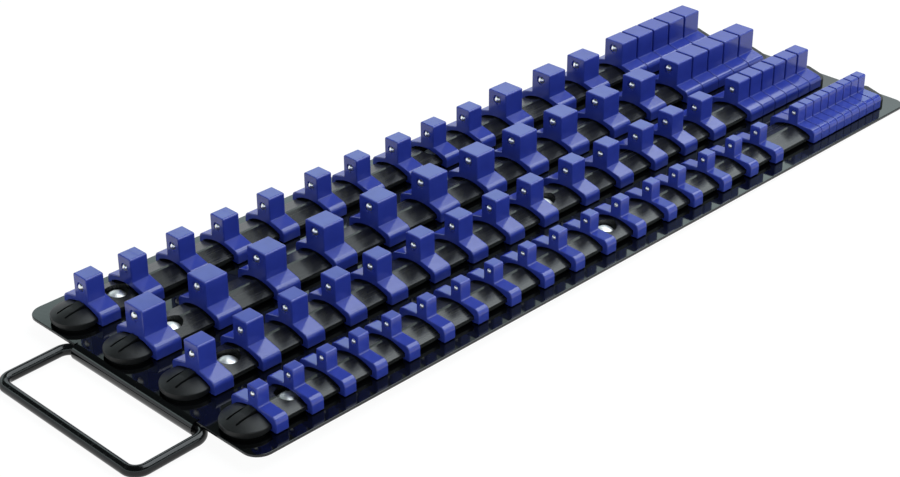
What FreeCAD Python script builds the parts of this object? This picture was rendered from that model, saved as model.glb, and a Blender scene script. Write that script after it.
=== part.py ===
"""Socket tray: four rails riveted to a sheet-steel tray, with square-drive clips that slide along them.

Millimetres. X runs across the tray, Y from the handle's end (-Y) to the far end, and Z up.
The origin is the middle of the sheet's underside. Heights above the sheet are measured from its top face.
"""
import FreeCAD
import Part

import math
import os

V = FreeCAD.Vector

# Tray: one sheet of steel, with its front edge rolled down round the handle's wire
TRAY_LENGTH = 461.0
TRAY_WIDTH = 159.0
SHEET = 1.2
TRAY_CORNER = 8.0
SHEET_EDGE_ROUND = 0.35
ROLL_SETBACK = 1.2
ROLL_PLAY = 0.1
ROLL_WRAP = 290.0
ROLL_END_GAP = 0.1
RELIEF_WIDTH = 0.8
RELIEF_DEPTH = 1.9

# Handle: a closed loop of round wire
WIRE = 5.2
HANDLE_SPAN = 94.8
HANDLE_REACH = 36.8
HANDLE_BEND = 6.0

# Rails: plastic mouldings with a low roof, overhanging edges and a hollow underside. The outer ones
# lie this far in from the tray's sides, and the others are spread evenly between them.
RAIL_MARGIN = 21.15
RAIL_COUNT = 4
RAIL_WIDTH = 22.0
RAIL_RIDGE = 6.3
RAIL_EDGE = 3.5
RIDGE_ROUND = 6.0
FLANGE_UNDERSIDE = 1.7
WEB_WIDTH = 18.0
RAIL_WALL = 1.8

# Front caps: a round domed end with a raised latch tongue, plugged into the rail
CAP_DISC = 23.4
CAP_INSET = 1.6
CAP_RIM = 3.7
CAP_RIM_ROUND = 0.5
CAP_NECK = 20.4
CAP_WALL = 1.8
CAP_SEAM = 8.2
BULKHEAD = 2.0
PLUG_LENGTH = 5.0
PLUG_FIT = 0.1
LATCH_WIDTH = 4.7
LATCH_SLOT = 1.1
LATCH_REACH = 7.6
LATCH_RISE = 0.9
LATCH_SINK = 0.15

# Rear caps: a gabled block that is wider than the rail, with round corners
REAR_CAP_WIDTH = 24.8
REAR_CAP_LENGTH = 7.6
REAR_CAP_INSET = 7.9
REAR_CAP_CORNER = 4.5
REAR_CAP_EDGE_ROUND = 0.5

# Rivets: three through each rail, their heads sunk in round pockets
RIVET_INSET = 35.0
RIVET_MIDDLE = 3.0
RIVET_HEAD = 9.2
RIVET_HEAD_RISE = 2.2
RIVET_SHANK = 4.0
RIVET_HOLE_PLAY = 0.1
RIVET_TAIL = 6.4
RIVET_TAIL_RISE = 1.0
POCKET = 11.6
POCKET_FLOOR = 2.6
POCKET_CHAMFER = 0.4

# Clips: a saddle that rides on a rail, and a square post for the socket
CLIP_WIDTH = 28.4
CLIP_LIFT = 0.25
RUNNING_GAP = 0.3
CROWN_GAP = 0.4
ARCH_RADIUS = 24.0
HOOK_REACH = 0.8
SHOULDER_ROUND = 2.8
SKIRT_FOOT_ROUND = 0.6
POST_CORNER_ROUND = 0.9
POST_FLARE = 0.8
FLARE_SINK = 0.1
EDGE_ROUND = 0.5
STACK_GAP = 0.2

# Detent balls, each in a counterbored hole in the post's front face, with a coil spring behind.
# The counterbore is this share of the way in to the ball's middle.
BALL_FIT = 0.04
DISH_SHARE = 0.6
DISH_DRAFT = 0.2
BORE_WALL = 1.8
SEAT_DEPTH = 0.1
SPRING_CLEARANCE = 0.1
SPRING_SEAT = 0.02
SPRING_TURNS = 6

# Half-inch drive
HALF_DRIVE = 12.7
HALF_SADDLE = 13.6
HALF_TOP = 21.3
HALF_FOOT = 8.5
HALF_SHOULDER = 6.5
HALF_BALL = 4.0
HALF_BALL_HEIGHT = 16.7
HALF_BALL_PROUD = 0.8
HALF_DISH = 5.6
HALF_SPRING_WIRE = 0.5

# Three-eighths drive
THREE_EIGHTHS_DRIVE = 9.525
THREE_EIGHTHS_SADDLE = 10.4
THREE_EIGHTHS_TOP = 20.3
THREE_EIGHTHS_FOOT = 8.6
THREE_EIGHTHS_SHOULDER = 6.3
THREE_EIGHTHS_BALL = 3.4
THREE_EIGHTHS_BALL_HEIGHT = 14.7
THREE_EIGHTHS_BALL_PROUD = 0.7
THREE_EIGHTHS_DISH = 4.8
THREE_EIGHTHS_SPRING_WIRE = 0.45

# Quarter-inch drive
QUARTER_DRIVE = 6.35
QUARTER_SADDLE = 6.65
QUARTER_TOP = 16.8
QUARTER_FOOT = 8.0
QUARTER_SHOULDER = 7.4
QUARTER_BALL = 2.4
QUARTER_BALL_HEIGHT = 13.2
QUARTER_BALL_PROUD = 0.5
QUARTER_DISH = 3.5
QUARTER_SPRING_WIRE = 0.35


class ClipSize:
    """The sizes that differ between the three square drives; heights are above the sheet."""

    def __init__(self, drive, saddle, top, foot, shoulder, ball, ball_height, ball_proud, dish, spring_wire):
        self.drive = drive
        self.saddle = saddle
        self.top = SHEET + top
        self.foot = SHEET + foot
        self.shoulder = SHEET + shoulder
        self.wing_slope = (foot - shoulder) / (CLIP_WIDTH / 2 - drive / 2)
        self.ball = ball
        self.ball_height = SHEET + ball_height
        self.ball_depth = ball / 2 - ball_proud
        self.dish = dish
        self.spring_wire = spring_wire


HALF = ClipSize(HALF_DRIVE, HALF_SADDLE, HALF_TOP, HALF_FOOT, HALF_SHOULDER, HALF_BALL,
                HALF_BALL_HEIGHT, HALF_BALL_PROUD, HALF_DISH, HALF_SPRING_WIRE)
THREE_EIGHTHS = ClipSize(THREE_EIGHTHS_DRIVE, THREE_EIGHTHS_SADDLE, THREE_EIGHTHS_TOP, THREE_EIGHTHS_FOOT,
                         THREE_EIGHTHS_SHOULDER, THREE_EIGHTHS_BALL, THREE_EIGHTHS_BALL_HEIGHT,
                         THREE_EIGHTHS_BALL_PROUD, THREE_EIGHTHS_DISH, THREE_EIGHTHS_SPRING_WIRE)
QUARTER = ClipSize(QUARTER_DRIVE, QUARTER_SADDLE, QUARTER_TOP, QUARTER_FOOT, QUARTER_SHOULDER, QUARTER_BALL,
                   QUARTER_BALL_HEIGHT, QUARTER_BALL_PROUD, QUARTER_DISH, QUARTER_SPRING_WIRE)

# What each rail carries, from the handle's end. The lead clip stands against the front stop and the stack
# against the rear one. Between them, each run of clips slides as one group. The numbers are the steps from
# one clip's front face to the next one's, as parts of the whole way from the lead clip to the stack; the
# last is the step to the stack.
RAIL_LOADS = [
    {"lead": THREE_EIGHTHS,
     "runs": [(THREE_EIGHTHS, [24, 27, 26, 28]), (THREE_EIGHTHS, [30, 26, 28, 25, 26]), (HALF, [26, 34, 28])],
     "last_step": 32, "stack": (HALF, 5)},
    {"lead": HALF,
     "runs": [(HALF, [34, 34, 35]), (HALF, [34, 34, 33, 31]), (HALF, [31, 33, 30])],
     "last_step": 31, "stack": (HALF, 5)},
    {"lead": THREE_EIGHTHS,
     "runs": [(THREE_EIGHTHS, [26, 25, 25, 25]), (THREE_EIGHTHS, [27, 25, 25, 24]),
              (THREE_EIGHTHS, [30, 26, 27, 24, 24])],
     "last_step": 32, "stack": (THREE_EIGHTHS, 6)},
    {"lead": QUARTER,
     "runs": [(QUARTER, [19, 18, 18, 19, 21]), (QUARTER, [21, 21, 22, 21, 22]),
              (QUARTER, [22, 23, 20, 23, 22, 21])],
     "last_step": 33, "stack": (QUARTER, 9)},
]

# Places that several pieces share
half_length = TRAY_LENGTH / 2
roof_slope = (RAIL_RIDGE - RAIL_EDGE) / (RAIL_WIDTH / 2)
disc_radius = CAP_DISC / 2
disc_y = half_length - CAP_INSET - disc_radius
seam_y = disc_y - CAP_SEAM
skirt_inside = RAIL_WIDTH / 2 + RUNNING_GAP
stop_y = disc_y - math.sqrt(disc_radius ** 2 - skirt_inside ** 2)
lead_front_y = -stop_y + RUNNING_GAP
rear_end_y = half_length - REAR_CAP_INSET
rear_seam_y = rear_end_y - REAR_CAP_LENGTH
rivet_places = [-(half_length - RIVET_INSET), RIVET_MIDDLE, half_length - RIVET_INSET]
rail_pitch = (TRAY_WIDTH - 2 * RAIL_MARGIN) / (RAIL_COUNT - 1)
rail_places = [(index - (RAIL_COUNT - 1) / 2) * rail_pitch for index in range(RAIL_COUNT)]

# The wire lies in the roll, just under the sheet
roll_inside = WIRE / 2 + ROLL_PLAY
roll_outside = roll_inside + SHEET
roll_y = -half_length + ROLL_SETBACK
roll_z = SHEET - roll_outside
roll_width = HANDLE_SPAN - 2 * (HANDLE_BEND + ROLL_END_GAP)

# How far a cutting tool is drawn past what it cuts, and how near a point on a plane has to be
BEYOND = 1.0
ON_PLANE = 1e-4


def line(start, end):
    return Part.LineSegment(start, end).toShape()


def arc(start, middle, end):
    return Part.Arc(start, middle, end).toShape()


def prism(edges, direction):
    """A solid swept from a closed outline along a straight line."""
    return Part.Face(Part.Wire(edges)).extrude(direction)


def block(x_low, x_high, y_low, y_high, z_low, z_high):
    return Part.makeBox(x_high - x_low, y_high - y_low, z_high - z_low, V(x_low, y_low, z_low))


def upright(radius, x, y, z_low, z_high):
    """A cylinder that stands on end."""
    return Part.makeCylinder(radius, z_high - z_low, V(x, y, z_low))


def is_on_plane(edge, axis, value):
    """True where all of an edge lies at one value of x, y or z."""
    box = edge.BoundBox
    low = {"x": box.XMin, "y": box.YMin, "z": box.ZMin}[axis]
    high = {"x": box.XMax, "y": box.YMax, "z": box.ZMax}[axis]
    return abs(low - value) < ON_PLANE and abs(high - value) < ON_PLANE


# ---------------------------------------------------------------- tray

def make_tray():
    """The flat sheet with its rivet holes, and the tab rolled down at the front for the handle."""
    sheet = block(-TRAY_WIDTH / 2, TRAY_WIDTH / 2, -half_length, half_length, 0, SHEET)
    corners = [edge for edge in sheet.Edges if edge.BoundBox.ZLength > SHEET / 2]
    sheet = sheet.makeFillet(TRAY_CORNER, corners)
    top_edges = [edge for edge in sheet.Edges if is_on_plane(edge, "z", SHEET)]
    sheet = sheet.makeFillet(SHEET_EDGE_ROUND, top_edges)

    tab_half = roll_width / 2
    relief_half = tab_half + RELIEF_WIDTH
    relief_y = -half_length + RELIEF_DEPTH
    sheet = sheet.cut(block(-relief_half, relief_half, -half_length - BEYOND, relief_y, -BEYOND, SHEET + BEYOND))
    neck = block(-tab_half, tab_half, roll_y, relief_y, 0, SHEET)

    start = math.radians(90)
    end = start + math.radians(ROLL_WRAP)
    middle = (start + end) / 2

    def roll_point(radius, angle):
        # angles run from straight up, over the front and round underneath
        return V(-tab_half, roll_y + radius * math.cos(angle), roll_z + radius * math.sin(angle))

    edges = [
        arc(roll_point(roll_outside, start), roll_point(roll_outside, middle), roll_point(roll_outside, end)),
        line(roll_point(roll_outside, end), roll_point(roll_inside, end)),
        arc(roll_point(roll_inside, end), roll_point(roll_inside, middle), roll_point(roll_inside, start)),
        line(roll_point(roll_inside, start), roll_point(roll_outside, start)),
    ]
    roll = prism(edges, V(roll_width, 0, 0))
    tray = sheet.fuse([neck, roll])

    hole = RIVET_SHANK / 2 + RIVET_HOLE_PLAY
    for x in rail_places:
        for y in rivet_places:
            tray = tray.cut(upright(hole, x, y, -BEYOND, SHEET + BEYOND))
    return tray.removeSplitter()


# ---------------------------------------------------------------- handle

def make_handle():
    """The wire loop, drooping just enough to lie level with the bottom of the roll."""
    radius = WIRE / 2
    half = HANDLE_SPAN / 2
    back = roll_y
    front = roll_y - HANDLE_REACH
    bend = HANDLE_BEND
    bar = HANDLE_SPAN - 2 * bend
    arm = HANDLE_REACH - 2 * bend
    pieces = [
        Part.makeCylinder(radius, bar, V(-bar / 2, back, roll_z), V(1, 0, 0)),
        Part.makeCylinder(radius, bar, V(-bar / 2, front, roll_z), V(1, 0, 0)),
        Part.makeCylinder(radius, arm, V(-half, front + bend, roll_z), V(0, 1, 0)),
        Part.makeCylinder(radius, arm, V(half, front + bend, roll_z), V(0, 1, 0)),
    ]
    corners = [(half - bend, back - bend, 0), (-half + bend, back - bend, 90),
               (-half + bend, front + bend, 180), (half - bend, front + bend, 270)]
    for x, y, turn in corners:
        corner = Part.makeTorus(bend, radius, V(0, 0, 0), V(0, 0, 1), 0, 360, 90)
        corner.rotate(V(0, 0, 0), V(0, 0, 1), turn)
        corner.translate(V(x, y, roll_z))
        pieces.append(corner)
    handle = pieces[0].fuse(pieces[1:]).removeSplitter()
    droop = math.degrees(math.asin((roll_outside - radius) / HANDLE_REACH))
    handle.rotate(V(0, roll_y, roll_z), V(1, 0, 0), droop)
    return handle


# ---------------------------------------------------------------- rails and caps

def roof_prism(half_width, z_low, ridge, ridge_round, y_low, y_high):
    """A bar along Y with a low pitched roof, its ridge rounded."""
    eaves = ridge - roof_slope * half_width
    pitch = math.atan(roof_slope)
    run = ridge_round * math.tan(pitch / 2) * math.cos(pitch)
    left = V(-run, y_low, ridge - roof_slope * run)
    right = V(run, y_low, ridge - roof_slope * run)
    crown = V(0, y_low, ridge - ridge_round * (1 / math.cos(pitch) - 1))
    edges = [
        line(V(-half_width, y_low, z_low), V(-half_width, y_low, eaves)),
        line(V(-half_width, y_low, eaves), left),
        arc(left, crown, right),
        line(right, V(half_width, y_low, eaves)),
        line(V(half_width, y_low, eaves), V(half_width, y_low, z_low)),
        line(V(half_width, y_low, z_low), V(-half_width, y_low, z_low)),
    ]
    return prism(edges, V(0, y_high - y_low, 0))


def rail_bar(y_low, y_high):
    """The rail's outer shape: the flanges over a narrower web."""
    ridge = SHEET + RAIL_RIDGE
    flanges = roof_prism(RAIL_WIDTH / 2, SHEET + FLANGE_UNDERSIDE, ridge, RIDGE_ROUND, y_low, y_high)
    web = block(-WEB_WIDTH / 2, WEB_WIDTH / 2, y_low, y_high, SHEET, SHEET + FLANGE_UNDERSIDE + BEYOND)
    return flanges.fuse(web)


def hollow_bar(y_low, y_high, fit):
    """The room inside a rail, less a fit all round; it is also the plug's shape."""
    half = WEB_WIDTH / 2 - RAIL_WALL - fit
    return roof_prism(half, SHEET, SHEET + RAIL_RIDGE - RAIL_WALL - fit, RIDGE_ROUND, y_low, y_high)


def make_rail():
    """One rail at X = 0, with its rivet pockets; it is solid round each rivet."""
    rail = rail_bar(-seam_y, rear_seam_y)
    boss = POCKET / 2 + RAIL_WALL
    room_starts = [-seam_y - BEYOND] + [y + boss for y in rivet_places]
    room_ends = [y - boss for y in rivet_places] + [rear_seam_y + BEYOND]
    for low, high in zip(room_starts, room_ends):
        rail = rail.cut(hollow_bar(low, high, 0))

    floor = SHEET + POCKET_FLOOR
    above = SHEET + RAIL_RIDGE + BEYOND
    rim = SHEET + RAIL_RIDGE - POCKET_CHAMFER
    flare_height = POCKET_CHAMFER + BEYOND
    for y in rivet_places:
        rail = rail.cut(upright(POCKET / 2, 0, y, floor, above))
        flare = Part.makeCone(POCKET / 2, POCKET / 2 + flare_height, flare_height, V(0, y, rim))
        rail = rail.cut(flare)
        rail = rail.cut(upright(RIVET_SHANK / 2 + RIVET_HOLE_PLAY, 0, y, SHEET - BEYOND, above))
    return rail.removeSplitter()


def dome(rim_radius, rim_height, crown_height, thinner):
    """A ball whose top passes through a crown over the disc's middle and a rim round it."""
    drop = crown_height - rim_height
    radius = (rim_radius ** 2 + drop ** 2) / (2 * drop)
    centre = V(0, disc_y, SHEET + crown_height - radius)
    return Part.makeSphere(radius - thinner, centre)


def make_front_cap():
    """The cap for a rail at X = 0, made at its far end: domed disc on a neck, latch tongue and plug."""
    ridge = SHEET + RAIL_RIDGE
    under = SHEET + FLANGE_UNDERSIDE
    above = ridge + LATCH_RISE + BEYOND
    disc = upright(disc_radius, 0, disc_y, under, ridge)
    disc = disc.common(dome(disc_radius, CAP_RIM, RAIL_RIDGE, 0))
    rim_edges = [edge for edge in disc.Edges if is_on_plane(edge, "z", SHEET + CAP_RIM)]
    disc = disc.makeFillet(CAP_RIM_ROUND, rim_edges)
    neck = upright(CAP_NECK / 2, 0, disc_y, SHEET, under + BEYOND)
    beyond_stop = block(-CAP_DISC, CAP_DISC, stop_y, disc_y + CAP_DISC, 0, above)
    cap = disc.fuse(neck).common(beyond_stop).fuse(rail_bar(seam_y, stop_y))

    # the tongue's wedge rises from its root in the disc to a step that the lead clip stands behind
    slot_end_y = disc_y + LATCH_REACH
    root_drop = (RAIL_RIDGE - CAP_RIM) * (LATCH_REACH / disc_radius) ** 2
    root_z = ridge - root_drop - LATCH_SINK
    base_z = ridge - root_drop - CAP_WALL / 2
    wedge = [
        line(V(-LATCH_WIDTH / 2, stop_y, base_z), V(-LATCH_WIDTH / 2, stop_y, ridge + LATCH_RISE)),
        line(V(-LATCH_WIDTH / 2, stop_y, ridge + LATCH_RISE), V(-LATCH_WIDTH / 2, slot_end_y, root_z)),
        line(V(-LATCH_WIDTH / 2, slot_end_y, root_z), V(-LATCH_WIDTH / 2, slot_end_y, base_z)),
        line(V(-LATCH_WIDTH / 2, slot_end_y, base_z), V(-LATCH_WIDTH / 2, stop_y, base_z)),
    ]
    cap = cap.fuse(prism(wedge, V(LATCH_WIDTH, 0, 0)))

    room_radius = CAP_NECK / 2 - CAP_WALL
    room = upright(room_radius, 0, disc_y, SHEET - BEYOND, ridge)
    room = room.common(dome(disc_radius, CAP_RIM, RAIL_RIDGE, CAP_WALL))
    passage = hollow_bar(seam_y + BULKHEAD, disc_y, 0)
    room_and_passage = room.common(block(-CAP_DISC, CAP_DISC, disc_y, disc_y + CAP_DISC, 0, ridge)).fuse(passage)
    cap = cap.cut(room_and_passage)

    slot_start_y = stop_y - LATCH_SLOT
    for side in (-1, 1):
        slot_x = side * (LATCH_WIDTH + LATCH_SLOT) / 2
        slot = block(slot_x - LATCH_SLOT / 2, slot_x + LATCH_SLOT / 2, slot_start_y, slot_end_y, SHEET, above)
        tip = upright(LATCH_SLOT / 2, slot_x, slot_end_y, SHEET, above)
        cap = cap.cut(slot.fuse(tip))
    cross_half = LATCH_WIDTH / 2 + LATCH_SLOT
    cap = cap.cut(block(-cross_half, cross_half, slot_start_y, stop_y, SHEET, above))

    plug = hollow_bar(seam_y - PLUG_LENGTH, seam_y + BULKHEAD / 2, PLUG_FIT)
    return cap.fuse(plug).removeSplitter()


def make_rear_cap():
    """The cap for the far end of a rail at X = 0: a gabled block that the stack stands against."""
    ridge = SHEET + RAIL_RIDGE
    half = REAR_CAP_WIDTH / 2
    body = roof_prism(half, SHEET, ridge, RIDGE_ROUND, rear_seam_y, rear_end_y)
    corners = [edge for edge in body.Edges
               if is_on_plane(edge, "y", rear_end_y) and edge.BoundBox.XLength < ON_PLANE]
    body = body.makeFillet(REAR_CAP_CORNER, corners)
    top_edges = [edge for edge in body.Edges
                 if is_on_plane(edge, "y", rear_end_y) and edge.BoundBox.ZMin > SHEET + ON_PLANE
                 and edge.BoundBox.XLength > ON_PLANE]
    body = body.makeFillet(REAR_CAP_EDGE_ROUND, top_edges)
    room = hollow_bar(rear_seam_y + BULKHEAD, rear_end_y - CAP_WALL, 0)
    plug = hollow_bar(rear_seam_y - PLUG_LENGTH, rear_seam_y + BULKHEAD / 2, PLUG_FIT)
    return body.cut(room).fuse(plug).removeSplitter()


# ---------------------------------------------------------------- rivets

def make_rivet(x, y):
    """A dome-headed rivet through the rail's pocket floor and the sheet, its tail spread below."""
    floor = SHEET + POCKET_FLOOR

    def button(radius, rise, seat_z, up):
        ball = (radius ** 2 + rise ** 2) / (2 * rise)
        sphere = Part.makeSphere(ball, V(x, y, seat_z + up * (rise - ball)))
        low = min(seat_z, seat_z + up * rise)
        return sphere.common(upright(radius, x, y, low, low + rise))

    head = button(RIVET_HEAD / 2, RIVET_HEAD_RISE, floor, 1)
    tail = button(RIVET_TAIL / 2, RIVET_TAIL_RISE, 0, -1)
    shank = upright(RIVET_SHANK / 2, x, y, -RIVET_TAIL_RISE / 2, floor + RIVET_HEAD_RISE / 2)
    return head.fuse([shank, tail]).removeSplitter()


# ---------------------------------------------------------------- clips

def round_corner(before, corner, after, radius):
    """The two ends and the middle of an arc that rounds a corner of an outline."""
    to_before = (before - corner).normalize()
    to_after = (after - corner).normalize()
    half_angle = to_before.getAngle(to_after) / 2
    reach = radius / math.tan(half_angle)
    bisector = (to_before + to_after).normalize()
    middle = corner + bisector * (radius / math.sin(half_angle) - radius)
    return corner + to_before * reach, middle, corner + to_after * reach


def rounded_outline(corners):
    """A closed outline from (point, radius) pairs, the corners with a radius rounded."""
    count = len(corners)
    edges = []
    stations = []
    for index in range(count):
        point, radius = corners[index]
        if radius > 0:
            before = corners[index - 1][0]
            after = corners[(index + 1) % count][0]
            stations.append(round_corner(before, point, after, radius))
        else:
            stations.append((point, None, point))
    for index in range(count):
        start, middle, end = stations[index]
        if middle is not None:
            edges.append(arc(start, middle, end))
        edges.append(line(end, stations[(index + 1) % count][0]))
    return edges


def make_saddle(size):
    """The part of a clip that straddles the rail, its front face at Y = 0."""
    half = CLIP_WIDTH / 2
    low = SHEET + CLIP_LIFT
    hook_top = SHEET + FLANGE_UNDERSIDE - RUNNING_GAP
    hook_tip = RAIL_WIDTH / 2 - HOOK_REACH
    peak = size.foot + size.wing_slope * size.drive / 2
    outer = [
        (V(-half, 0, low), SKIRT_FOOT_ROUND),
        (V(-half, 0, size.shoulder), SHOULDER_ROUND),
        (V(0, 0, peak), 0),
        (V(half, 0, size.shoulder), SHOULDER_ROUND),
        (V(half, 0, low), SKIRT_FOOT_ROUND),
    ]
    saddle = prism(rounded_outline(outer), V(0, size.saddle, 0))
    outer_edges = [edge for edge in saddle.Edges
                   if (is_on_plane(edge, "y", 0) or is_on_plane(edge, "y", size.saddle))
                   and not is_on_plane(edge, "z", low)]
    saddle = saddle.makeFillet(EDGE_ROUND, outer_edges)

    crown = SHEET + RAIL_RIDGE + CROWN_GAP
    spring_z = crown - ARCH_RADIUS + math.sqrt(ARCH_RADIUS ** 2 - skirt_inside ** 2)
    under = [
        line(V(-skirt_inside, 0, hook_top), V(-skirt_inside, 0, spring_z)),
        arc(V(-skirt_inside, 0, spring_z), V(0, 0, crown), V(skirt_inside, 0, spring_z)),
        line(V(skirt_inside, 0, spring_z), V(skirt_inside, 0, hook_top)),
        line(V(skirt_inside, 0, hook_top), V(-skirt_inside, 0, hook_top)),
    ]
    channel = prism(under, V(0, size.saddle, 0))
    mouth = block(-hook_tip, hook_tip, 0, size.saddle, 0, hook_top)
    return saddle.cut(channel).cut(mouth)


def make_post(size):
    """The square post, flared where it meets the saddle and rounded along its edges."""
    half = size.drive / 2
    flare_x = half + POST_FLARE
    flare_z = size.foot - size.wing_slope * POST_FLARE - FLARE_SINK
    root = SHEET + RAIL_RIDGE + CROWN_GAP + EDGE_ROUND
    turn = POST_FLARE * (1 - math.sqrt(0.5))
    flare_top = flare_z + POST_FLARE

    def at(x, z):
        return V(x, 0, z)

    top_left = round_corner(at(-half, root), at(-half, size.top), at(half, size.top), POST_CORNER_ROUND)
    top_right = round_corner(at(-half, size.top), at(half, size.top), at(half, root), POST_CORNER_ROUND)
    edges = [
        line(at(-flare_x, root), at(-flare_x, flare_z)),
        arc(at(-flare_x, flare_z), at(-half - turn, flare_z + turn), at(-half, flare_top)),
        line(at(-half, flare_top), top_left[0]),
        arc(top_left[0], top_left[1], top_left[2]),
        line(top_left[2], top_right[0]),
        arc(top_right[0], top_right[1], top_right[2]),
        line(top_right[2], at(half, flare_top)),
        arc(at(half, flare_top), at(half + turn, flare_z + turn), at(flare_x, flare_z)),
        line(at(flare_x, flare_z), at(flare_x, root)),
        line(at(flare_x, root), at(-flare_x, root)),
    ]
    post = prism(edges, V(0, size.drive, 0))
    outer_edges = [edge for edge in post.Edges
                   if (is_on_plane(edge, "y", 0) or is_on_plane(edge, "y", size.drive))
                   and edge.BoundBox.ZMax > flare_top + EDGE_ROUND]
    return post.makeFillet(EDGE_ROUND, outer_edges)


def ball_room(size, bore_end):
    """What is cut out of a post for its ball: a counterbore, a lip round the ball and a bore behind it."""
    radius = size.ball / 2 + BALL_FIT
    centre = V(0, size.ball_depth, size.ball_height)
    pocket = Part.makeSphere(radius, centre)
    bore = Part.makeCylinder(radius, bore_end - size.ball_depth, centre, V(0, 1, 0))
    depth = size.ball_depth * DISH_SHARE
    mouth = Part.makeCone(size.dish / 2 - DISH_DRAFT, size.dish / 2, depth,
                          V(0, depth, size.ball_height), V(0, -1, 0))
    return pocket.fuse([bore, mouth])


def make_clip(size, with_spring):
    """One clip with its front face at Y = 0 on a rail at X = 0."""
    clip = make_saddle(size).fuse(make_post(size)).removeSplitter()
    if with_spring:
        bore_end = size.drive - BORE_WALL
    else:
        bore_end = size.ball_depth + size.ball / 2 + SEAT_DEPTH
    return clip.cut(ball_room(size, bore_end))


def make_ball(size):
    return Part.makeSphere(size.ball / 2, V(0, size.ball_depth, size.ball_height))


def make_spring(size):
    """The coil spring from the back of the ball to the end of the bore."""
    wire = size.spring_wire
    coil = size.ball / 2 + BALL_FIT - SPRING_CLEARANCE - wire / 2
    on_ball = math.sqrt((size.ball / 2 + wire / 2 + SPRING_SEAT) ** 2 - coil ** 2)
    start = size.ball_depth + on_ball
    end = size.drive - BORE_WALL - wire / 2 - SPRING_SEAT
    helix = Part.makeHelix((end - start) / SPRING_TURNS, end - start, coil)
    profile = Part.Wire([Part.makeCircle(wire / 2, V(coil, 0, 0), V(0, 1, 0))])
    spring = Part.Wire(helix.Edges).makePipeShell([profile], True, True)
    spring.rotate(V(0, 0, 0), V(1, 0, 0), -90)
    spring.translate(V(0, start, size.ball_height))
    return spring


# ---------------------------------------------------------------- assembly

def placed(shape, x, y):
    copy = shape.copy()
    copy.translate(V(x, y, 0))
    return copy


def turned(shape):
    """The same piece turned end for end about the tray's middle."""
    copy = shape.copy()
    copy.rotate(V(0, 0, 0), V(0, 0, 1), 180)
    return copy


def clip_groups(load):
    """Each group of clips on a rail: the number of its first clip, its size and its front faces."""
    size, count = load["stack"]
    step = size.saddle + STACK_GAP
    stack_y = rear_seam_y - RUNNING_GAP - count * size.saddle - (count - 1) * STACK_GAP
    all_steps = [step for run in load["runs"] for step in run[1]] + [load["last_step"]]
    one_part = (stack_y - lead_front_y) / sum(all_steps)

    y = lead_front_y
    number = 2
    groups = []
    for run_size, steps in load["runs"]:
        fronts = []
        for parts in steps:
            y = y + parts * one_part
            fronts.append(y)
        groups.append((number, run_size, fronts))
        number = number + len(steps)
    groups.append((number, size, [stack_y + index * step for index in range(count)]))
    return groups


def build():
    """Every sub-part by name."""
    parts = {"tray": make_tray(), "handle": make_handle()}
    rail = make_rail()
    front_cap = make_front_cap()
    rear_cap = make_rear_cap()
    for index, x in enumerate(rail_places):
        number = index + 1
        parts["rail_%d" % number] = placed(rail, x, 0)
        parts["front_end_cap_%d" % number] = placed(turned(front_cap), x, 0)
        parts["rear_end_cap_%d" % number] = placed(rear_cap, x, 0)
    parts["rivets"] = Part.makeCompound([make_rivet(x, y) for x in rail_places for y in rivet_places])

    seated_clips = {size: make_clip(size, False) for size in (HALF, THREE_EIGHTHS, QUARTER)}
    balls = {size: make_ball(size) for size in (HALF, THREE_EIGHTHS, QUARTER)}
    for index, load in enumerate(RAIL_LOADS):
        number = index + 1
        x = rail_places[index]
        lead = load["lead"]
        parts["clip_%d_01" % number] = placed(make_clip(lead, True), x, lead_front_y)
        parts["ball_%d_01" % number] = placed(balls[lead], x, lead_front_y)
        parts["spring_%d_01" % number] = placed(make_spring(lead), x, lead_front_y)
        for first, size, fronts in clip_groups(load):
            span = "%d_%02d_%02d" % (number, first, first + len(fronts) - 1)
            parts["clips_" + span] = Part.makeCompound([placed(seated_clips[size], x, y) for y in fronts])
            parts["balls_" + span] = Part.makeCompound([placed(balls[size], x, y) for y in fronts])
    return parts


def main():
    os.makedirs("parts", exist_ok=True)
    for name, shape in build().items():
        shape.exportStep("parts/%s.step" % name)
        box = shape.BoundBox
        print("%-20s %2d solids  valid %s  volume %9.1f  x %8.2f %8.2f  y %8.2f %8.2f  z %6.2f %6.2f" % (
            name, len(shape.Solids), shape.isValid(), shape.Volume,
            box.XMin, box.XMax, box.YMin, box.YMax, box.ZMin, box.ZMax))


main()
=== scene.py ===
"""Socket tray: a black sheet metal tray with four rails of blue sliding clips and a folding wire handle."""

import math

import bpy
from mathutils import Matrix, Vector

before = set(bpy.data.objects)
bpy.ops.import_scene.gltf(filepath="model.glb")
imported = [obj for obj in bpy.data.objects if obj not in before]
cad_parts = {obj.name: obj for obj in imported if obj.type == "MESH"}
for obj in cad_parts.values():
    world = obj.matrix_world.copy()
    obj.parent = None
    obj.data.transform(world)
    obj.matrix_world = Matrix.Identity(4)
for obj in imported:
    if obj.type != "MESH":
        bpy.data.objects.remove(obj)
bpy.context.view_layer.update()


# ---- The tray -------------------------------------------------------------------------------
# One piece of 1.2 mm sheet steel with round corners. A tab at its front edge is rolled down
# round the handle. It is stoved in a gloss black paint that pools smooth and mirrors the clips.


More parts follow.
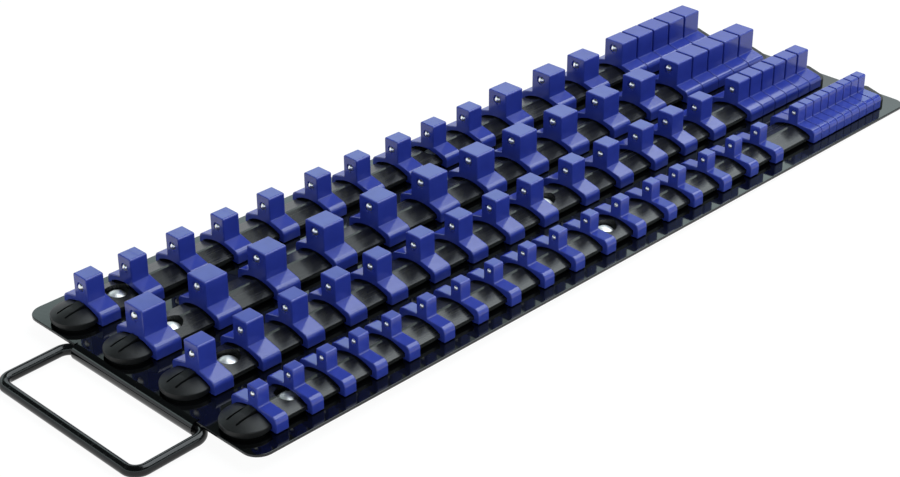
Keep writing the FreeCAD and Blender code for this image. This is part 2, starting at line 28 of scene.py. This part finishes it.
class Shade:
    """A socket in a material's nodes, which Python's own signs work on."""

    def __init__(self, tree, socket=None):
        self.tree = tree
        self.socket = socket

    def node(self, kind, settings=None, inputs=None, output=0):
        """Any node: its settings first, then the values or links of its sockets."""
        made = self.tree.nodes.new(kind)
        for name, value in (settings or {}).items():
            setattr(made, name, value)
        for name, value in (inputs or {}).items():
            if isinstance(value, Shade):
                self.tree.links.new(value.socket, made.inputs[name])
            else:
                made.inputs[name].default_value = value
        return Shade(self.tree, made.outputs[output] if made.outputs else None)

    def maths(self, operation, first, second):
        return self.node("ShaderNodeMath", {"operation": operation}, {0: first, 1: second})

    def __add__(self, other):
        return self.maths("ADD", self, other)

    def __radd__(self, other):
        return self.maths("ADD", other, self)

    def __sub__(self, other):
        return self.maths("SUBTRACT", self, other)

    def __rsub__(self, other):
        return self.maths("SUBTRACT", other, self)

    def __mul__(self, other):
        return self.maths("MULTIPLY", self, other)

    def __rmul__(self, other):
        return self.maths("MULTIPLY", other, self)

    def between(self, low, high):
        """0 below low, 1 above high, and a soft step in between."""
        return self.node(
            "ShaderNodeMapRange",
            {"interpolation_type": "SMOOTHSTEP"},
            {"Value": self, "From Min": low, "From Max": high},
        )

    def mix(self, first, second):
        """The first colour where this is 0, and the second where it is 1."""
        return self.node(
            "ShaderNodeMix", {"data_type": "RGBA"}, {0: self, 6: first, 7: second}, output=2
        )


def new_finish(name):
    """An empty material, and the place on its pieces, in metres."""
    material = bpy.data.materials.new(name)
    material.use_nodes = True
    material.node_tree.nodes.clear()
    place = Shade(material.node_tree).node("ShaderNodeTexCoord", output="Object")
    return material, place


def noise(place, size, detail, stretch=(1, 1, 1), roughness=0.5):
    """Noise from 0 to 1, its lumps about size metres across and drawn out by stretch along x, y, z."""
    squeezed = place.node(
        "ShaderNodeVectorMath",
        {"operation": "MULTIPLY"},
        {0: place, 1: tuple(1 / (size * share) for share in stretch)},
    )
    return place.node(
        "ShaderNodeTexNoise",
        inputs={"Vector": squeezed, "Scale": 1.0, "Detail": detail, "Roughness": roughness},
    )


def close_finish(place, colour, roughness, relief, depth, fixed):
    """The closing shader. The relief goes from 0 to 1 and is depth metres deep."""
    bumps = place.node(
        "ShaderNodeBump", inputs={"Height": relief, "Distance": depth, "Strength": 1.0}
    )
    inputs = {"Base Color": colour, "Roughness": roughness}
    inputs.update(fixed)
    inputs["Normal"] = bumps
    shader = place.node("ShaderNodeBsdfPrincipled", inputs=inputs)
    place.node("ShaderNodeOutputMaterial", inputs={"Surface": shader})


def finish_nodes(material, *names):
    """Gives the pieces with these names the finish, in every slot that they have."""
    for name in names:
        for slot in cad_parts[name].material_slots:
            slot.material = material


PAINT_BLACK = (0.0012, 0.0012, 0.0014, 1)
PAINT_HAZE = (0.0032, 0.0033, 0.0037, 1)
PAINT_IOR = 1.48
PAINT_RELIEF = 0.000003

gloss_paint, place = new_finish("black_gloss_paint")
handled = noise(place, size=0.06, detail=4.0)
orange_peel = noise(place, size=0.0016, detail=1.0)
rub_marks = noise(place, size=0.004, detail=3.0, stretch=(1, 14, 1)).between(0.66, 0.74)
dust = noise(place, size=0.0009, detail=0.0).between(0.86, 0.90)
close_finish(
    place,
    colour=(handled.between(0.35, 0.75) * 0.6 + dust * 0.4).mix(PAINT_BLACK, PAINT_HAZE),
    roughness=handled.between(0.3, 0.8) * 0.05 + rub_marks * 0.05 + dust * 0.3 + 0.06,
    relief=orange_peel,
    depth=PAINT_RELIEF,
    fixed={"IOR": PAINT_IOR},
)
finish_nodes(gloss_paint, "tray")


# ---- The handle -----------------------------------------------------------------------------
# A bail of 5.2 mm steel wire, bent to a flat loop whose rear bar lies in the tray's rolled tab.
# It was dipped in a black coating, which is a little softer and less even than the tray's paint.

WIRE_BLACK = (0.0030, 0.0030, 0.0033, 1)
WIRE_WORN = (0.012, 0.012, 0.013, 1)
WIRE_IOR = 1.4
WIRE_RELIEF = 0.00005

wire_coating, place = new_finish("black_wire_coating")
dipped = noise(place, size=0.012, detail=3.0)
handled = noise(place, size=0.0022, detail=2.0).between(0.55, 0.8)
close_finish(
    place,
    colour=(handled * 0.7).mix(WIRE_BLACK, WIRE_WORN),
    roughness=dipped * 0.08 + handled * 0.08 + 0.10,
    relief=dipped * 0.8 + noise(place, size=0.0009, detail=1.0) * 0.2,
    depth=WIRE_RELIEF,
    fixed={"IOR": WIRE_IOR},
)
finish_nodes(wire_coating, "handle")


# ---- The rails ------------------------------------------------------------------------------
# Black plastic roof profiles with a low ridge and an overhanging edge on both sides, which the
# clips hook under. They are extruded, so fine lines run along them.

RAILS = range(1, 5)
RAIL_BLACK = (0.0070, 0.0069, 0.0067, 1)
RAIL_GREY = (0.040, 0.039, 0.037, 1)
RAIL_IOR = 1.44
RAIL_RELIEF = 0.00002

rail_plastic, place = new_finish("black_rail_plastic")
draw_lines = noise(place, size=0.0007, detail=3.0, stretch=(1, 120, 1), roughness=0.6)
broad_lines = noise(place, size=0.004, detail=2.0, stretch=(1, 30, 1))
rubbed = noise(place, size=0.02, detail=4.0, stretch=(1, 2, 1)).between(0.45, 0.8)
close_finish(
    place,
    colour=(draw_lines.between(0.45, 0.7) * 0.35 + rubbed * 0.25).mix(RAIL_BLACK, RAIL_GREY),
    roughness=broad_lines * 0.12 + draw_lines * 0.12 + 0.12,
    relief=draw_lines * 0.7 + broad_lines * 0.3,
    depth=RAIL_RELIEF,
    fixed={"IOR": RAIL_IOR},
)
finish_nodes(rail_plastic, *[f"rail_{rail}" for rail in RAILS])


# ---- The rails' end caps --------------------------------------------------------------------
# Moulded black plastic, plugged into both ends of each rail: a round one with a sprung tongue in
# front, and a gabled block behind. The mould was spark eroded, so they are dull and grained.

CAP_BLACK = (0.0050, 0.0050, 0.0052, 1)
CAP_GREY = (0.0105, 0.0105, 0.0108, 1)
CAP_IOR = 1.38
CAP_RELIEF = 0.00004

cap_plastic, place = new_finish("black_cap_plastic")
spark_grain = noise(place, size=0.0005, detail=2.0)
flow = noise(place, size=0.009, detail=3.0)
close_finish(
    place,
    colour=(spark_grain.between(0.5, 0.9) * 0.5 + flow * 0.3).mix(CAP_BLACK, CAP_GREY),
    roughness=flow * 0.12 + 0.40,
    relief=spark_grain * 0.7 + flow * 0.3,
    depth=CAP_RELIEF,
    fixed={"IOR": CAP_IOR},
)
for rail in RAILS:
    finish_nodes(cap_plastic, f"front_end_cap_{rail}", f"rear_end_cap_{rail}")


# ---- The rivets -----------------------------------------------------------------------------
# Twelve plated steel rivets hold the rails down. Their domed heads sit in round pockets, and
# the plating is bright, with the faint rings and dull spots that the setting tool leaves.

RIVET_BRIGHT = (0.94, 0.94, 0.93, 1)
RIVET_DULL = (0.74, 0.74, 0.74, 1)
RIVET_RELIEF = 0.00005
ALL_METAL = {"Metallic": 1.0}

rivet_plating, place = new_finish("bright_rivet")
tarnish = noise(place, size=0.0022, detail=4.0)
set_marks = noise(place, size=0.0009, detail=2.0)
close_finish(
    place,
    colour=tarnish.between(0.45, 0.75).mix(RIVET_BRIGHT, RIVET_DULL),
    roughness=tarnish * 0.20 + 0.40,
    relief=set_marks,
    depth=RIVET_RELIEF,
    fixed=ALL_METAL,
)
finish_nodes(rivet_plating, "rivets")


# ---- The clips ------------------------------------------------------------------------------
# Blue plastic, moulded in one piece: a saddle with two wings that hook under the rail's edges,
# and a square post for the socket. The mould was polished, with a trace of flow near the gate.

CLIP_BLUE = (0.028, 0.045, 0.310, 1)
CLIP_DEEP = (0.023, 0.037, 0.255, 1)
CLIP_IOR = 1.5
CLIP_RELIEF = 0.00002

blue_plastic, place = new_finish("blue_plastic")
flow = noise(place, size=0.006, detail=3.0)
polish = noise(place, size=0.0012, detail=2.0)
scuffs = noise(place, size=0.0016, detail=3.0, stretch=(6, 1, 1)).between(0.62, 0.78)
close_finish(
    place,
    colour=(flow.between(0.3, 0.8) * 0.6).mix(CLIP_BLUE, CLIP_DEEP),
    roughness=flow * 0.06 + scuffs * 0.10 + 0.10,
    relief=polish * 0.4 + flow * 0.6,
    depth=CLIP_RELIEF,
    fixed={"IOR": CLIP_IOR},
)
finish_nodes(blue_plastic, *[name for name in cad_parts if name.startswith("clip")])


# ---- The balls ------------------------------------------------------------------------------
# A hardened ball stands a little out of each post's front face and holds the socket's drive. It
# is polished and chromed, with a thin smear of oil.

BALL_CHROME = (0.92, 0.92, 0.92, 1)
BALL_SMEAR = (0.80, 0.80, 0.81, 1)
BALL_RELIEF = 0.00001

chrome, place = new_finish("ball_chrome")
oil_film = noise(place, size=0.0015, detail=3.0)
close_finish(
    place,
    colour=oil_film.between(0.45, 0.8).mix(BALL_CHROME, BALL_SMEAR),
    roughness=oil_film * 0.10 + 0.27,
    relief=oil_film,
    depth=BALL_RELIEF,
    fixed=ALL_METAL,
)
finish_nodes(chrome, *[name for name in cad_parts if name.startswith("ball")])


# ---- The springs ----------------------------------------------------------------------------
# A coil spring of plain drawn steel wire sits in the bore behind the first ball of each rail,
# and pushes it out.

SPRING_STEEL = (0.46, 0.45, 0.43, 1)
SPRING_OIL = (0.30, 0.28, 0.25, 1)
SPRING_RELIEF = 0.00001

spring_wire, place = new_finish("spring_steel")
drawn = noise(place, size=0.0004, detail=2.0)
close_finish(
    place,
    colour=drawn.mix(SPRING_STEEL, SPRING_OIL),
    roughness=drawn * 0.2 + 0.25,
    relief=drawn,
    depth=SPRING_RELIEF,
    fixed=ALL_METAL,
)
finish_nodes(spring_wire, *[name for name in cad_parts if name.startswith("spring")])


# ---- The floor ------------------------------------------------------------------------------
# A plain white floor. The tray stands on the rolled front edge and on the rear rivets' tails,
# so the floor leans with the line through those two.

FRONT_FOOT_Y, FRONT_FOOT_Z = -0.2293, -0.0066
REAR_FOOT_Y, REAR_FOOT_Z = 0.1955, -0.0010
FLOOR_HALF = 4.0
FLOOR_PAINT = (0.86, 0.86, 0.86, 1)
FLOOR_GLOW = 1.04
GLOW_SHARE = 0.91
WHITE = (1, 1, 1, 1)

lean = (REAR_FOOT_Z - FRONT_FOOT_Z) / (REAR_FOOT_Y - FRONT_FOOT_Y)
corners = []
for x, y in ((-1, -1), (1, -1), (1, 1), (-1, 1)):
    height = FRONT_FOOT_Z + lean * (y * FLOOR_HALF - FRONT_FOOT_Y)
    corners.append((x * FLOOR_HALF, y * FLOOR_HALF, height))
mesh = bpy.data.meshes.new("floor")
mesh.from_pydata(corners, [], [(0, 1, 2, 3)])
floor = bpy.data.objects.new("floor", mesh)
bpy.context.scene.collection.objects.link(floor)


def seen_by(start, *rays):
    """1 for rays of these kinds, and 0 for all others."""
    kinds = [start.node("ShaderNodeLightPath", output=ray) for ray in rays]
    return sum(kinds[1:], kinds[0]).between(0.0, 1.0)


floor_white = bpy.data.materials.new("floor_white")
floor_white.use_nodes = True
floor_white.node_tree.nodes.clear()
start = Shade(floor_white.node_tree)
shows = seen_by(start, "Is Camera Ray", "Is Glossy Ray", "Is Transmission Ray")
lit = start.node("ShaderNodeBsdfDiffuse", inputs={"Color": FLOOR_PAINT})
glow = start.node("ShaderNodeEmission", inputs={"Color": WHITE, "Strength": FLOOR_GLOW})
blend = start.node("ShaderNodeMixShader", inputs={0: shows * GLOW_SHARE, 1: lit, 2: glow})
start.node("ShaderNodeOutputMaterial", inputs={"Surface": blend})
floor.data.materials.append(floor_white)


# ---- The studio -----------------------------------------------------------------------------
# White walls all round, with a brighter band of light along their top and a dark ceiling. To
# the camera, and through anything clear, it is plain white.

WALL_LIGHT = 1.0
BAND_LIGHT = 1.9
CEILING_LIGHT = 0.05
WALL_TINT = (0.95, 1.00, 1.05, 1)
BAND_TINT = (0.87, 1.07, 1.06, 1)
# how high each stands over the horizon, as the sine of its angle
BAND_FOOT = math.sin(math.radians(22.0))
BAND_FULL = math.sin(math.radians(26.0))
BAND_TOP = math.sin(math.radians(29.0))
CEILING_START = math.sin(math.radians(34.0))

world = bpy.data.worlds.new("white_room")
bpy.context.scene.world = world
world.use_nodes = True
world.node_tree.nodes.clear()
start = Shade(world.node_tree)
shows = seen_by(start, "Is Camera Ray", "Is Transmission Ray")
direction = start.node("ShaderNodeTexCoord", output="Generated")
rise = start.node("ShaderNodeSeparateXYZ", inputs={"Vector": direction}, output="Z")
band = rise.between(BAND_FOOT, BAND_FULL)
wall = band * (BAND_LIGHT - WALL_LIGHT) + WALL_LIGHT
ceiling = rise.between(BAND_TOP, CEILING_START)
studio = wall * (1 - ceiling) + ceiling * CEILING_LIGHT
room = start.node(
    "ShaderNodeBackground",
    inputs={
        "Color": shows.mix(band.mix(WALL_TINT, BAND_TINT), WHITE),
        "Strength": studio * (1 - shows) + shows,
    },
)
start.node("ShaderNodeOutputWorld", inputs={"Surface": room})


# ---- The lamp -------------------------------------------------------------------------------
# One wide soft box, high over the tray's rear end and aimed at its middle. It gives the clips'
# wings their sheen, and the tray its shadow.

LAMP_PLACE = Vector((0.2, 0.78, 1.55))
LAMP_WIDTH, LAMP_DEPTH = 1.9, 1.6
LAMP_WATTS = 38.0
LAMP_TINT = (0.92, 1.0, 1.04)

light = bpy.data.lights.new("overhead_softbox", "AREA")
light.shape = "RECTANGLE"
light.size = LAMP_WIDTH
light.size_y = LAMP_DEPTH
light.energy = LAMP_WATTS
light.color = LAMP_TINT
lamp = bpy.data.objects.new("overhead_softbox", light)
lamp.location = LAMP_PLACE
lamp.rotation_euler = (-LAMP_PLACE).to_track_quat("-Z", "Y").to_euler()
bpy.context.scene.collection.objects.link(lamp)


# ---- The camera -----------------------------------------------------------------------------
# It looks down on the near front corner, from the right of the handle. Its azimuth is counted
# from straight in front, towards the right.

AZIMUTH = math.radians(44.884)
ELEVATION = math.radians(29.116)
ROLL = math.radians(-0.273)
STAND = Vector((0.56428, -0.60879, 0.44014))
SENSOR = 36.0
LENS = 76.04
NEAREST = 0.05
FARTHEST = 50.0

away = Vector(
    (
        math.sin(AZIMUTH) * math.cos(ELEVATION),
        -math.cos(AZIMUTH) * math.cos(ELEVATION),
        math.sin(ELEVATION),
    )
)
level = (-away).cross(Vector((0, 0, 1))).normalized()
upright = level.cross(-away)
right = level * math.cos(ROLL) + upright * math.sin(ROLL)
up = upright * math.cos(ROLL) - level * math.sin(ROLL)
lens = bpy.data.cameras.new("camera")
lens.sensor_fit = "HORIZONTAL"
lens.sensor_width = SENSOR
lens.lens = LENS
lens.clip_start = NEAREST
lens.clip_end = FARTHEST
camera = bpy.data.objects.new("camera", lens)
camera.matrix_world = Matrix(
    (
        (right.x, up.x, away.x, STAND.x),
        (right.y, up.y, away.y, STAND.y),
        (right.z, up.z, away.z, STAND.z),
        (0, 0, 0, 1),
    )
)
bpy.context.scene.collection.objects.link(camera)
bpy.context.scene.camera = camera
bpy.context.scene.view_settings.view_transform = "Standard"
